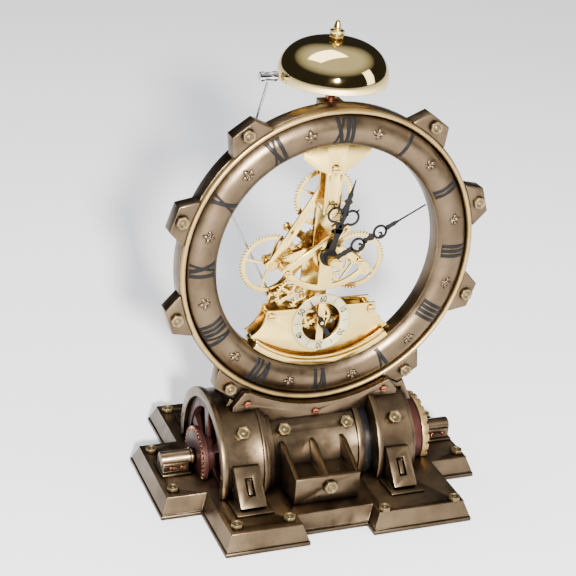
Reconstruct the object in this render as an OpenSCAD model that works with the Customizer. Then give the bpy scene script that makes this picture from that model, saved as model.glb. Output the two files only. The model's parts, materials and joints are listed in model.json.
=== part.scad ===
// Table clock: an open dial ring with a visible wheel train stands on a dynamo-shaped base,
// with a bell on top that a wire hammer strikes. +Z is up and the dial faces -Y.

/* [Plinth] */
// Width over the two side wings
plinth_w = 237; // [232:1:242]
// Depth over the front and rear blocks
plinth_d = 183; // [178:1:188]
// Height of the plinth's top face
plinth_h = 14.6; // [14:0.2:15.2]
// Depth of the side wings
wing_d = 79; // [74:1:82]
// Distance that the centre block stands back from the corner blocks
notch = 11.7; // [8:0.1:13]
// Horizontal run of the sloped sides
slope_run = 4.7; // [3:0.1:5]

/* [Dynamo] */
// Height of the dynamo's axis
axis_z = 23; // [22:0.5:24]
// Outer radius of both drums
drum_r = 46; // [45:0.5:47]
// Outer radius of the barrel between the drums
barrel_r = 37; // [36:0.5:38]
// Radius of the stub shafts
stub_r = 5.4; // [5:0.1:5.6]

/* [Dial ring] */
// Height of the ring's centre
ring_z = 170.8; // [170:0.1:172]
// Radius of the window edge
window_r = 80; // [79.5:0.1:80.2]
// Radius of the gold bead
bead_r = 103; // [102.5:0.1:103.5]
// Outer radius of the ring
case_r = 106; // [105.6:0.1:106.4]
// Distance from the centre to the outer edge of a bolt lug
lug_r = 117.2; // [116:0.1:119]

/* [Bell] */
// Outer radius at the bell's mouth
bell_r = 37; // [35:0.5:38]
// Height of the bell from mouth to crown
bell_h = 27; // [25:0.5:28]
// Height of the bell's mouth
bell_z = 288; // [286:0.5:289]

/* [Time shown] */
// Hour on the dial
hour = 12; // [1:1:12]
// Minute on the dial
minute = 10.2; // [0:0.1:59.9]
// Second on the small dial
second = 55; // [0:1:59]

/* [Hidden] */
$fn = 48;

bronze = [0.45, 0.34, 0.27];
dark = [0.16, 0.13, 0.12];
gold = [0.83, 0.68, 0.36];
brass = [0.78, 0.62, 0.30];
copper = [0.62, 0.33, 0.24];
steel = [0.72, 0.73, 0.75];
black = [0.05, 0.05, 0.05];
rotor_red = [0.40, 0.17, 0.15];

// Plinth: plan corners and section heights
block_xl = -90.4;
notch_xl = -30.5;
notch_xr = 15.7;
block_xr = 89.6;
band_h = 3;
lip_h = 1.2;
wall = 6;
roof = 3.2;
cover_z = 2.8;
cover_t = 1.5;
// Screw shanks and the holes they fill
bolt_af = 7.4;
bolt_h = 3;
shank_r = 1.5;
hole_r = 1.55;

// Battery compartment, inside the barrel
cell_r = 7.25;
cell_l = 50.5;
cell_z = 12.2;
holder_x = [-31, 25];
holder_y = 16.5;
holder_top = 21.5;
door_x = [-34, 28];
door_y = 19.5;
rail_l = 124;

// Dynamo: X stations
left_x = [-79, -46];
right_x = [36, 64];
barrel_x = [-39, 27];
shell_t = 4;
rim_w = 4;
rim_up = 2;

// Clock frame heights, measured from the dynamo axis plane towards the viewer
crest_f = 14.5;
case_f = 9.5;
back_f = -3;
lug_f = [1, 12];
lug_bolt_r = 111.7;
front_f = 4;
plate_t = 1.5;
mid_f = -7.5;
rear_f = -17.5;
wheel_f = -10.2;
deep_f = -13.6;
wheel_t = 1.2;

// Wheel train: tooth counts, modules and centres
train_m = 0.75;
motion_m = 0.5;
hour_m = 0.4;
n_large = 56;
n_centre = 42;
n_centre2 = 30;
n_cannon = 12;
n_minute = 36;
n_minute_pin = 12;
n_hour = 48;
n_sec_pin = 8;
n_third = 32;
n_third_pin = 12;
n_fourth = 30;
n_fourth_pin = 7;
n_drive = 40;
n_motor = 10;
arbor_r = 1.2;

function polar(r, a) = [r * cos(a), r * sin(a)];
function mesh_gap(n1, n2, m) = m * (n1 + n2) / 2;
function heading(p, q) = atan2(q[1] - p[1], q[0] - p[0]);
// Point at distance a from p and b from q, on the left of the line p to q
function meet(p, a, q, b) =
    let (d = norm(q - p), along = (a * a - b * b + d * d) / (2 * d))
    p + a * [cos(heading(p, q) + acos(along / a)), sin(heading(p, q) + acos(along / a))];
// Angle of the second wheel whose teeth fall in the gaps of the first
function in_mesh(n1, turn1, n2, p1, p2) =
    let (line = heading(p1, p2)) line + 180 + (180 - (turn1 - line) * n1) / n2;

at_centre = [0, 0];
at_seconds = [0, -49.5];
at_upper = polar(mesh_gap(n_centre, n_large, train_m), 90);
at_left = polar(mesh_gap(n_centre, n_large, train_m), 195);
at_right = polar(mesh_gap(n_centre2, n_large, train_m), -24);
at_minute = polar(mesh_gap(n_cannon, n_minute, motion_m), -40);
third_gap = mesh_gap(n_sec_pin, n_third, train_m);
fourth_gap = mesh_gap(n_third_pin, n_fourth, train_m);
left_gap = mesh_gap(n_fourth_pin, n_large, train_m);
at_third = meet(at_seconds, third_gap, at_left, fourth_gap + left_gap);
at_fourth = at_third + polar(fourth_gap, heading(at_third, at_left));
at_motor = at_seconds + polar(mesh_gap(n_drive, n_motor, motion_m), -20);
at_hammer = [-32, -34];

turn_left = in_mesh(n_centre, 0, n_large, at_centre, at_left);
turn_upper = in_mesh(n_centre, 0, n_large, at_centre, at_upper);
turn_right = in_mesh(n_centre2, 0, n_large, at_centre, at_right);
turn_fourth_pin = in_mesh(n_large, turn_left, n_fourth_pin, at_left, at_fourth);
turn_third_pin = in_mesh(n_fourth, 0, n_third_pin, at_fourth, at_third);
turn_sec_pin = in_mesh(n_third, 0, n_sec_pin, at_third, at_seconds);
turn_motor = in_mesh(n_drive, 0, n_motor, at_seconds, at_motor);
turn_minute = in_mesh(n_cannon, 0, n_minute, at_centre, at_minute);
turn_hour = in_mesh(n_minute_pin, 0, n_hour, at_minute, at_centre);

minute_turn = -minute * 6;
hour_turn = -(hour % 12) * 30 - minute / 2;
second_turn = -second * 6;

// Places of the fastenings
plinth_bolt_xy = [[-107, -26], [-107, 26], [-79.3, -78.5], [-42.1, -78.5], [25.5, -83.5],
    [78.5, -83.5], [109, -27], [109, 27], [-79.3, 78.5], [78.5, 83.5]];
front_pillars = [[-37, -42.5], [37, -42.5], [-28, -11], [24.5, -5.5], [0, 62]];
rear_pillars = [[-22, 14], [17, 13.2], [4, -24.8]];
pedestal_x = [-99, 102.5];
saddle_screws = [[-54.5, 70.5], [-3.5, 58.8], [47.5, 70.5]];
cover_screws = [for (x = [-75, 75], y = [-60, 60]) [x, y]];
lug_turns = [36, 72, 108, 144, 216, 252, 288, 324];
lead_x = 22;
lead_end = [lead_x, -66];

// ---------- helpers ----------

// The plinth's four overlapping blocks: low x, high x, half depth
plinth_blocks = [[-plinth_w / 2, plinth_w / 2, wing_d / 2],
    [block_xl, notch_xl, plinth_d / 2],
    [block_xl, block_xr, plinth_d / 2 - notch],
    [notch_xr, block_xr, plinth_d / 2]];

// Upright slab over the plinth's plan, drawn in by i on every side
module slab(i, z0, z1) {
    for (b = plinth_blocks) translate([b[0] + i, -b[2] + i, z0])
        cube([b[1] - b[0] - 2 * i, 2 * (b[2] - i), z1 - z0]);
}

// Section of a block from lo to hi: foot band, narrow groove, sloped side, top lip
function block_section(lo, hi) =
    let (edge = [[0, 0], [0, band_h], [1.4, band_h], [1.4, band_h + 0.8], [0.8, band_h + 0.8],
                 [slope_run, plinth_h - lip_h], [slope_run, plinth_h]], n = len(edge))
    concat([for (k = [0 : n - 1]) [lo + edge[k][0], edge[k][1]]],
           [for (k = [n - 1 : -1 : 0]) [hi - edge[k][0], edge[k][1]]]);

// One block of the plinth, the same section across and along
module sloped_block(b) {
    intersection() {
        translate([0, b[2], 0]) rotate([90, 0, 0]) linear_extrude(2 * b[2])
            polygon(block_section(b[0], b[1]));
        translate([b[0], 0, 0]) rotate([90, 0, 90]) linear_extrude(b[1] - b[0])
            polygon(block_section(-b[2], b[2]));
    }
}

// Cylinder along X, on the dynamo's axis
module drum(x0, x1, r) {
    translate([x0, 0, axis_z]) rotate([0, 90, 0]) cylinder(h = x1 - x0, r = r);
}

// Keeps what stands above the plinth
module above_plinth() {
    intersection() {
        children();
        translate([-150, -100, plinth_h]) cube([300, 200, 200]);
    }
}

// Puts its children on the dynamo's surface, their +Z pointing outwards
module on_drum(x, angle, r) {
    translate([x, 0, axis_z]) rotate([90 - angle, 0, 0]) translate([0, 0, r]) children();
}

// Clock frame: X to the right, Y up, Z towards the viewer, about the ring's centre
module dial_frame() {
    translate([0, 0, ring_z]) rotate([90, 0, 0]) children();
}

module at(p, z = 0) {
    translate([p[0], p[1], z]) children();
}

// Hexagon bolt head with a round recess, and its shank below Z = 0
module hex_bolt(af, h, shank) {
    difference() {
        cylinder(h = h, r = af / sqrt(3), $fn = 6);
        translate([0, 0, h - 0.9]) cylinder(h = 1, r = af * 0.32);
    }
    translate([0, 0, h - 0.9]) cylinder(h = 0.6, r = af * 0.16);
    translate([0, 0, -shank]) cylinder(h = shank + 0.1, r = shank_r);
}

// Slotted cheese-head screw and its shank below Z = 0
module slot_screw(r, h, shank) {
    difference() {
        cylinder(h = h, r = r);
        translate([-r, -r * 0.14, h * 0.5]) cube([2 * r, r * 0.28, h]);
    }
    translate([0, 0, -shank]) cylinder(h = shank + 0.1, r = r * 0.5);
}

function teeth(n, m, turn) =
    let (root = m * (n / 2 - 1.15), tip = m * (n / 2 + 0.85), pitch = 360 / n)
    [for (k = [0 : n - 1]) for (c = [[root, -0.29], [tip, -0.12], [tip, 0.12], [root, 0.29]])
        polar(c[0], turn + (k + c[1]) * pitch)];

module pinion(n, m, turn, z0, z1) {
    translate([0, 0, z0]) linear_extrude(z1 - z0) polygon(teeth(n, m, turn));
}

// Toothed wheel with a thin rim, straight spokes and a hub
module spoked_wheel(n, m, turn, z0, t, rim, spokes, hub) {
    inner = m * n / 2 - rim;
    translate([0, 0, z0]) {
        difference() {
            linear_extrude(t) polygon(teeth(n, m, turn));
            translate([0, 0, -1]) cylinder(h = t + 2, r = inner);
        }
        intersection() {
            cylinder(h = t, r = inner + 0.2);
            for (k = [0 : spokes - 1]) rotate(turn + k * 360 / spokes)
                translate([0, -0.9, 0]) cube([inner + 0.2, 1.8, t]);
        }
        cylinder(h = t, r = hub);
    }
}

module arbor(z0, z1, r = arbor_r) {
    translate([0, 0, z0]) cylinder(h = z1 - z0, r = r);
}

// Outline of a strap that leaves a plate at p and has a round boss at q
module strap(p, q, w) {
    bar_w = w * 0.9;
    translate(q) circle(r = w / 2);
    translate(p) rotate(heading(p, q)) translate([0, -bar_w / 2]) square([norm(q - p), bar_w]);
}

// ---------- base ----------

module plinth() {
    color(bronze) difference() {
        for (b = plinth_blocks) sloped_block(b);
        slab(wall, -1, plinth_h - roof);
        translate([holder_x[0] - 0.3, -holder_y - 0.3, 0])
            cube([holder_x[1] - holder_x[0] + 0.6, 2 * holder_y + 0.6, 30]);
        for (p = plinth_bolt_xy) at(p, 5) cylinder(h = 20, r = hole_r);
    }
}

module base_cover() {
    color(dark) difference() {
        union() {
            slab(wall + 0.3, cover_z, cover_z + cover_t);
            for (s = [-1, 1]) {
                translate([door_x[0], s * (door_y + 1.1) - 0.8, 0.4]) cube([rail_l, 1.6, 2.5]);
                translate([door_x[0], s * (door_y + 0.3) - 1.6, 0.4]) cube([rail_l, 3.2, 0.6]);
            }
            // Posts up to the plinth's roof, one for each fixing screw
            for (p = cover_screws) at(p, cover_z) cylinder(h = plinth_h - roof - cover_z, r = 4);
        }
        translate([holder_x[0], -holder_y, 0])
            cube([holder_x[1] - holder_x[0], 2 * holder_y, 10]);
        for (p = cover_screws) at(p, 0) cylinder(h = 8, r = hole_r);
    }
}

module battery_door() {
    color(dark) {
        translate([door_x[0], -door_y, 1.3])
            cube([door_x[1] - door_x[0], 2 * door_y, 1.2]);
        // Thumb ridges
        for (k = [0 : 3]) translate([door_x[1] - 6 - 3 * k, -8, 0.7]) cube([1.2, 16, 0.7]);
    }
}

module battery_holder() {
    x0 = holder_x[0];
    len_x = holder_x[1] - holder_x[0];
    color(dark) difference() {
        translate([x0 + 0.2, -holder_y + 0.2, cover_z])
            cube([len_x - 0.4, 2 * holder_y - 0.4, holder_top - cover_z]);
        translate([x0 + 1.6, -holder_y + 1.6, 0])
            cube([len_x - 3.2, 2 * holder_y - 3.2, holder_top - 1.2]);
    }
    // Contact plates at both ends
    color(steel) for (x = [x0 + 1.6, holder_x[1] - 2.1], y = [-7.4, 7.4])
        translate([x, y - 4, cell_z - 5]) cube([0.5, 8, 10]);
}

module batteries() {
    mid = (holder_x[0] + holder_x[1]) / 2;
    for (s = [-1, 1]) translate([mid, s * 7.4, cell_z]) rotate([0, s * 90, 0]) {
        color(brass) translate([0, 0, -cell_l / 2]) cylinder(h = cell_l - 1.2, r = cell_r);
        color(steel) translate([0, 0, cell_l / 2 - 1.3]) cylinder(h = 1.3, r = 2.6);
    }
}

// Lead from the battery holder up through the ring and back to the motor
module battery_lead() {
    rise = ring_z + lead_end[1] - holder_top;
    back = 12;
    color(black) {
        translate([lead_x, -1, holder_top]) cylinder(h = rise, r = 1);
        dial_frame() {
            at(lead_end, 1) sphere(r = 1.15);
            at(lead_end, 1 - back) cylinder(h = back, r = 1);
            at(lead_end, 1 - back) sphere(r = 1.15);
            at(lead_end, 1 - back) rotate(heading(lead_end, at_motor)) rotate([0, 90, 0])
                cylinder(h = norm(at_motor - lead_end) - 9, r = 0.9);
        }
    }
}

module case_bolts() {
    color(brass) {
        for (p = plinth_bolt_xy) at(p, plinth_h) hex_bolt(bolt_af, bolt_h, 5);
        on_drum(-61.5, 46, drum_r) hex_bolt(bolt_af + 1, bolt_h, 3);
        on_drum(51, 44, drum_r) hex_bolt(bolt_af + 1, bolt_h, 3);
        for (x = [-28.6, 18]) on_drum(x, 48, barrel_r) hex_bolt(bolt_af + 1, bolt_h, 3);
        translate([-8, -64.5, 26.5]) rotate([90, 0, 0]) hex_bolt(bolt_af + 1.4, bolt_h, 5);
    }
}

module small_screws() {
    color(copper) for (p = saddle_screws)
        translate([p[0], -18.5, p[1]]) rotate([90, 0, 0]) slot_screw(2.3, 1.4, 4);
    color(bronze) for (x = pedestal_x, s = [-4, 4]) translate([x + s, -7, 19.6])
        rotate([90, 0, 0]) slot_screw(1.4, 0.9, 2);
    color(steel) for (p = cover_screws) at(p, cover_z)
        rotate([180, 0, 0]) slot_screw(3, 1.6, 5);
}

module left_drum() {
    x0 = left_x[0];
    x1 = left_x[1];
    color(bronze) above_plinth() difference() {
        union() {
            drum(x0, x1, drum_r);
            drum(x0, x0 + rim_w, drum_r + rim_up);
            drum(x1 - 3, x1, drum_r + 1);
            // Rivets on the open end
            for (a = [-10 : 20 : 190]) translate([x0 - 0.8, 0, axis_z]) rotate([a, 0, 0])
                translate([0, -44.6, 0]) rotate([0, 90, 0]) cylinder(h = 1, r = 1.3);
        }
        drum(x0 - 1, x1 - 4, 41);
        on_drum(-61.5, 46, drum_r - 5) cylinder(h = 9, r = hole_r);
    }
}

// Spoked armature behind the open end, with its end disc
module left_rotor() {
    color(rotor_red) above_plinth() {
        difference() {
            drum(-76, -70, 40.6);
            drum(-77, -69, 34);
        }
        for (k = [0 : 5]) intersection() {
            drum(-75, -71, 35);
            translate([-73, 0, axis_z]) rotate([20 + 60 * k, 0, 0])
                translate([-2, -3.5, 8]) cube([4, 7, 30]);
        }
        drum(-84.5, -80, 21);
        drum(-80, -70, 14);
        drum(-70, -50, 22);
    }
}

module stub_shafts() {
    color(bronze) {
        drum(-109, -84.5, stub_r);
        drum(-88, -85, stub_r + 1);
        drum(85, 113, stub_r);
        drum(87, 90, stub_r + 1);
    }
}

module pedestals() {
    for (x = pedestal_x) color(bronze) difference() {
        union() {
            translate([x - 9.5, -7, plinth_h]) cube([19, 14, axis_z - plinth_h]);
            translate([x - 10.5, -10.5, plinth_h]) cube([21, 21, 1.8]);
        }
        drum(x - 20, x + 20, stub_r + 0.02);
        for (s = [-4, 4]) translate([x + s, -4, 19.6])
            rotate([90, 0, 0]) cylinder(h = 5, r = 0.72);
    }
}

// One sloping leg with a recessed window and a foot plate
module leg(x, w) {
    difference() {
        union() {
            translate([x + w, 0, 0]) rotate([90, 0, -90]) linear_extrude(w)
                polygon([[41, plinth_h], [59, plinth_h], [66, 18.5], [46, 38.5], [38, 38.5]]);
            difference() {
                translate([x - 4, -70, plinth_h]) cube([w + 8, 33, 1.8]);
                drum(x - 6, x + w + 6, drum_r + rim_up + 0.1);
            }
        }
        // Recess in the sloping face, with a raised bar left standing in it
        translate([x + w / 2, -56, 28.5]) rotate([45, 0, 0]) difference() {
            translate([-2.8, -6.5, -3]) cube([5.6, 13, 6]);
            translate([-1.5, -5, -3]) cube([3, 10, 2.2]);
        }
        drum(x - 6, x + w + 6, drum_r + 0.02);
        // Open underside between leg and drum
        translate([x - 6, -55, plinth_h + 1.8]) cube([3.9 + 2, 20, 30]);
    }
}

module drum_legs() {
    color(bronze) for (s = [0, 1]) mirror([0, s, 0]) {
        leg(-72, 18.5);
        leg(41, 17);
    }
}

module centre_barrel() {
    color(bronze) above_plinth() difference() {
        union() {
            drum(barrel_x[0], barrel_x[1], barrel_r);
            drum(-46, -43, 44);
            drum(-43, -39, 41);
            drum(24.5, 29, 39.5);
        }
        drum(barrel_x[0] + 2, barrel_x[1] - 1, barrel_r - shell_t);
        for (x = [-28.6, 18]) on_drum(x, 48, barrel_r - 6) cylinder(h = 9, r = hole_r);
        translate([lead_x, -1, 30]) cylinder(h = 60, r = 1.2);
    }
}

module terminal_box() {
    box_top = 34.5;
    box_floor = 29.5;
    color(bronze) difference() {
        union() {
            translate([-33.5, -64.5, plinth_h]) cube([47.5, 40, box_floor - plinth_h]);
            translate([-33.5, -64.5, plinth_h]) cube([47.5, 2.2, box_top - plinth_h]);
            // Gusset ribs from the barrel down to the box's front wall
            for (x = [-33.5, -11.2, 11]) translate([x, 0, 0]) rotate([90, 0, 90])
                linear_extrude(3) polygon([[-64.5, box_floor - 1], [-64.5, box_top],
                    [-62.3, box_top], [-37.5, 45], [-27, 45], [-27, box_floor - 1]]);
        }
        drum(-60, 60, barrel_r + 0.02);
        translate([-8, -64.5 + 6, 26.5]) rotate([90, 0, 0]) cylinder(h = 7, r = hole_r);
    }
}

module rotor_band() {
    color(black) above_plinth() {
        drum(29, 36, 35);
        for (a = [0 : 15 : 180]) translate([32.5, 0, axis_z]) rotate([a, 0, 0])
            translate([0, -34.8, 0]) rotate([90, 0, 0]) cylinder(h = 1.2, r = 0.9);
    }
}

module right_drum() {
    x0 = right_x[0];
    x1 = right_x[1];
    color(bronze) above_plinth() difference() {
        union() {
            drum(x0, x1 - 2, drum_r);
            drum(x0, x0 + rim_w, drum_r + 1.5);
            drum(x1 - 2, x1, drum_r - 2);
            drum(x1, x1 + 4, 40);
        }
        drum(x0 + 4, x1 - 2, drum_r - shell_t);
        on_drum(51, 44, drum_r - 6) cylinder(h = 9, r = hole_r);
    }
}

module red_disc() {
    color(rotor_red) above_plinth() drum(68, 80, 27);
}

module notched_ring() {
    color(gold) above_plinth() difference() {
        drum(80, 85, 28);
        for (a = [7.5 : 15 : 360]) translate([82.5, 0, axis_z]) rotate([a, 0, 0])
            translate([0, -1.2, 26]) cube([3, 2.4, 4]);
    }
}

// ---------- ring ----------

// Bolt lug on the ring, up to the given front: a block with two cut corners
module lug(grow = 0, front = lug_f[1]) {
    outer = lug_r + grow;
    side = 15.5 + grow;
    flat = 9 + grow;
    translate([0, 0, lug_f[0] - grow]) linear_extrude(front - lug_f[0] + grow)
        polygon([[-side, 98], [side, 98], [side, 105.5], [flat, outer], [-flat, outer],
                 [-side, 105.5]]);
}

module saddle() {
    saddle_f = 13;
    // The lug pockets run just past the cradle, to clear the lower lug bolts
    pocket_f = saddle_f + 0.3;
    color(bronze) difference() {
        union() {
            // Front plate with cut corners
            translate([0, -saddle_f, 0]) rotate([90, 0, 0]) linear_extrude(5.5)
                polygon([[-65, 40], [-65, 69], [-57, 79], [50, 79], [58, 69], [58, 40]]);
            // Broad cradle under the ring
            translate([0, saddle_f, 0]) rotate([90, 0, 0]) linear_extrude(2 * saddle_f)
                polygon([[-73, 56], [-60, 84], [60, 84], [73, 56]]);
        }
        dial_frame() translate([0, 0, -40]) cylinder(h = 80, r = case_r + 0.02, $fn = 96);
        for (a = [144, 216]) dial_frame() rotate(-a) lug(0.15, pocket_f);
        drum(left_x[0] - 1, left_x[1], drum_r + 0.02);
        drum(left_x[0] - 1, left_x[0] + rim_w, drum_r + rim_up + 0.02);
        drum(left_x[1] - 3, left_x[1], drum_r + 1.02);
        drum(-46, -43, 44.02);
        drum(-43, -39, 41.02);
        drum(-39, 36, barrel_r + 0.02);
        drum(24.5, 36, 39.52);
        drum(right_x[0], right_x[1], drum_r + 0.02);
        drum(right_x[0], right_x[0] + rim_w, drum_r + 1.52);
        drum(right_x[1], right_x[1] + 4, 40.02);
        drum(68, 82, 35.5);
        for (p = saddle_screws)
            translate([p[0], -14, p[1]]) rotate([90, 0, 0]) cylinder(h = 6, r = 1.2);
        translate([lead_x, -1, 30]) cylinder(h = 60, r = 1.2);
    }
}

module ring_case() {
    color(bronze) difference() {
        dial_frame() {
            difference() {
                union() {
                    translate([0, 0, back_f]) cylinder(h = case_f - back_f, r = case_r, $fn = 96);
                    for (a = lug_turns) rotate(-a) lug();
                }
                translate([0, 0, -10]) cylinder(h = 40, r = window_r, $fn = 96);
                translate([0, 0, case_f]) cylinder(h = 40, r = bead_r + 2.4, $fn = 96);
                for (a = lug_turns) rotate(-a) translate([0, lug_bolt_r, 4])
                    cylinder(h = 10, r = hole_r);
            }
        }
        translate([lead_x, -1, 30]) cylinder(h = 70, r = 1.2);
    }
}

// Round crown of the dial ring
crown_r = 14;
crown_mid = 91;
module crown(grow) {
    intersection() {
        rotate_extrude($fn = 96) translate([crown_mid, crest_f - crown_r])
            circle(r = crown_r + grow);
        translate([0, 0, case_f]) cylinder(h = 10, r = bead_r - 0.9);
    }
}

module ring_tube() {
    color(bronze) dial_frame() difference() {
        crown(0);
        translate([0, 0, 5]) cylinder(h = 20, r = window_r);
    }
}

module gold_bead() {
    color(gold) dial_frame() difference() {
        union() {
            rotate_extrude($fn = 96) translate([bead_r + 0.6, 11.2]) circle(r = 1.7);
            rotate_extrude($fn = 96) translate([bead_r - 1, case_f]) square([3.2, 1.7]);
        }
        translate([0, 0, 5]) cylinder(h = 20, r = bead_r - 0.9);
    }
}

// One bar of a numeral: from (x0, low) to (x1, high) across the crown
numeral_low = 82.5;
numeral_high = 99.5;
module bar(x0, x1, w) {
    translate([0, 0, case_f]) linear_extrude(8)
        polygon([[x0 - w / 2, numeral_low], [x0 + w / 2, numeral_low],
                 [x1 + w / 2, numeral_high], [x1 - w / 2, numeral_high]]);
}

// Glyph rows: each glyph is a letter and the place of its middle
function numeral_glyphs(h) =
    [["X", "I", "I"], ["I"], ["I", "I"], ["I", "I", "I"], ["I", "I", "I", "I"], ["V"],
     ["V", "I"], ["V", "I", "I"], ["V", "I", "I", "I"], ["I", "X"], ["X"], ["X", "I"]][h];
function glyph_w(g) = g == "I" ? 2.9 : 6;
function widths_before(row, k) = k == 0 ? 0 : glyph_w(row[k - 1]) + widths_before(row, k - 1);

module glyph(g) {
    if (g == "I") bar(0, 0, 1.5);
    if (g == "V") {
        bar(0.2, -2, 1.7);
        bar(0.2, 2.1, 1);
    }
    if (g == "X") {
        bar(2, -2, 1.7);
        bar(-2, 2, 1);
    }
}

module numerals() {
    color(black) dial_frame() intersection() {
        difference() {
            crown(0.35);
            crown(0);
        }
        for (h = [0 : 11]) rotate(-30 * h) {
            row = numeral_glyphs(h);
            total = widths_before(row, len(row));
            for (k = [0 : len(row) - 1])
                translate([widths_before(row, k) + glyph_w(row[k]) / 2 - total / 2, 0, 0])
                    glyph(row[k]);
        }
    }
}

// Raised three-petal flourish at each half hour
module ornaments() {
    color(gold) dial_frame() intersection() {
        difference() {
            crown(0.6);
            crown(0);
        }
        for (h = [0 : 11]) rotate(-30 * h - 15) {
            at([0, 94.6], case_f) cylinder(h = 8, r = 1.5);
            for (s = [-1, 1]) at([s * 2.5, 92.9], case_f) cylinder(h = 8, r = 1.2);
            translate([-2.6, 90.2, case_f]) cube([5.2, 1.1, 8]);
            at([0, 88.4], case_f) cylinder(h = 8, r = 1.2);
        }
    }
}

module lug_bolts() {
    color(brass) dial_frame() for (a = lug_turns) rotate(-a)
        translate([0, lug_bolt_r, lug_f[1]]) hex_bolt(bolt_af + 0.4, bolt_h, 5);
}

module inner_ledge() {
    span = 78;
    color(gold) difference() {
        dial_frame() rotate(-90 - span / 2) {
            rotate_extrude(angle = span, $fn = 96)
                polygon([[76, mid_f], [window_r, mid_f], [window_r, 10.4], [76, 10.4]]);
            rotate_extrude(angle = span, $fn = 96)
                polygon([[74.2, front_f + plate_t], [76, front_f + plate_t], [76, 8.4],
                         [74.2, 8.4]]);
        }
        translate([lead_x, -1, 60]) cylinder(h = 60, r = 1.2);
    }
}

// ---------- movement plates ----------

// Lower plate outline with hollowed ends, under the ring's centre
module lower_blank() {
    difference() {
        intersection() {
            circle(r = 75.9, $fn = 96);
            translate([-52, -90]) square([104, 52]);
        }
        for (s = [-1, 1]) translate([s * 62, -37]) circle(r = 22);
    }
}

module lower_plate() {
    color(gold) dial_frame() {
        difference() {
            translate([0, 0, front_f]) linear_extrude(plate_t) lower_blank();
            at(at_seconds, front_f - 1) cylinder(h = 5, r = 14.2);
            for (k = [0, 1]) at(front_pillars[k], front_f - 1) cylinder(h = 5, r = 1.4);
            at(at_third, front_f - 1) cylinder(h = 5, r = arbor_r + 0.05);
        }
        // Upright bar that carries the seconds arbor
        difference() {
            translate([-2.6, at_seconds[1] - 14.5, front_f]) cube([5.2, 29, plate_t]);
            at(at_seconds, front_f - 1) cylinder(h = 5, r = arbor_r + 0.05);
        }
    }
}

module seconds_dial() {
    color(gold) dial_frame() at(at_seconds, front_f + plate_t) {
        difference() {
            cylinder(h = 0.5, r = 21.3);
            translate([0, 0, -1]) cylinder(h = 3, r = 14.3);
        }
        for (k = [0 : 5]) rotate(-30 - 60 * k) translate([-0.25, 15.5, 0.4])
            cube([0.5, 4.6, 0.3]);
    }
}

module quadrant_bridge() {
    arc_mid = [0, 15.2];
    color(gold) dial_frame() difference() {
        union() {
            difference() {
                intersection() {
                    at(arc_mid, front_f) cylinder(h = plate_t, r = 40.8, $fn = 96);
                    translate([0, 0, front_f]) linear_extrude(plate_t)
                        polygon([[-34, -10], [0, 14], [34, -10], [34, -40], [-34, -40]]);
                }
                // Two windows beside the upright
                intersection() {
                    at(arc_mid, front_f - 1) cylinder(h = 4, r = 36.5, $fn = 96);
                    for (s = [-1, 1]) translate([0, 0, front_f - 1]) linear_extrude(4)
                        polygon([[s * 5, 3.5], [s * 8.5, 1.8], [s * 24.5, -9.3], [s * 24, -16],
                                 [s * 5, -26]]);
                }
            }
            at(at_right, front_f) cylinder(h = plate_t, r = 3.6);
            at(at_centre, front_f) cylinder(h = plate_t, r = 6.5);
            at(at_minute, front_f) cylinder(h = plate_t, r = 3);
            // Stud for the minute wheel, with its retaining collar
            at(at_minute, -0.9) cylinder(h = front_f + 1, r = 1);
            at(at_minute, -1.4) cylinder(h = 0.7, r = 1.8);
        }
        at(at_centre, 0) cylinder(h = 10, r = 2.26);
        at(at_right, 0) cylinder(h = 10, r = arbor_r + 0.05);
        for (k = [2, 3]) at(front_pillars[k], front_f - 1) cylinder(h = 5, r = 1.1);
    }
}

module top_bridge() {
    color(gold) dial_frame() difference() {
        union() {
            intersection() {
                translate([0, 0, front_f]) cylinder(h = plate_t, r = window_r - 0.1, $fn = 96);
                translate([0, 0, front_f]) linear_extrude(plate_t)
                    polygon([[-6, 30], [6, 30], [6, 59], [12, 62.5], [24, 72], [24, 85],
                             [-24, 85], [-24, 70], [-14, 62.5], [-6, 59]]);
            }
            // Two raised flutes along the upright
            for (x = [-4.6, 3.4]) translate([x, 31, front_f + plate_t - 0.1])
                cube([1.2, 27, 0.7]);
        }
        at(at_upper, 0) cylinder(h = 10, r = arbor_r + 0.05);
        at(front_pillars[4], front_f - 1) cylinder(h = 5, r = 1.4);
    }
}

module middle_plate() {
    color(gold) dial_frame() translate([0, 0, mid_f]) linear_extrude(plate_t) difference() {
        union() {
            lower_blank();
            translate([-13, -45]) square([20, 46]);
            translate([-6, 0]) square([12, 79]);
            strap(at_centre, at_left, 8);
            strap(at_left, [-3, 44], 7);
            strap(at_centre, front_pillars[3], 7);
            strap(at_centre, rear_pillars[1], 7.4);
            strap([-31, -44], at_hammer, 9);
            strap(at_hammer, at_fourth, 8);
            strap(at_fourth, [-11.5, -27], 7);
        }
        for (p = [at_centre, at_seconds, at_third, at_fourth, at_left, at_upper, at_hammer, at_motor])
            translate(p) circle(r = arbor_r + 0.05);
        for (p = concat(front_pillars, rear_pillars)) translate(p) circle(r = 1.1);
        translate(lead_end) circle(r = 1.2);
    }
}

module rear_bridge() {
    color(gold) dial_frame() translate([0, 0, rear_f]) linear_extrude(plate_t) difference() {
        union() {
            circle(r = 7);
            for (p = [at_left, at_upper, at_right, at_fourth]) strap(at_centre, p, 7);
            for (p = rear_pillars) strap(at_centre, p, 6);
            strap(at_fourth, at_hammer, 6);
        }
        for (p = [at_centre, at_left, at_upper, at_right, at_fourth, at_hammer])
            translate(p) circle(r = arbor_r + 0.05);
        for (p = rear_pillars) translate(p) circle(r = 1.1);
    }
}

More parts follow.
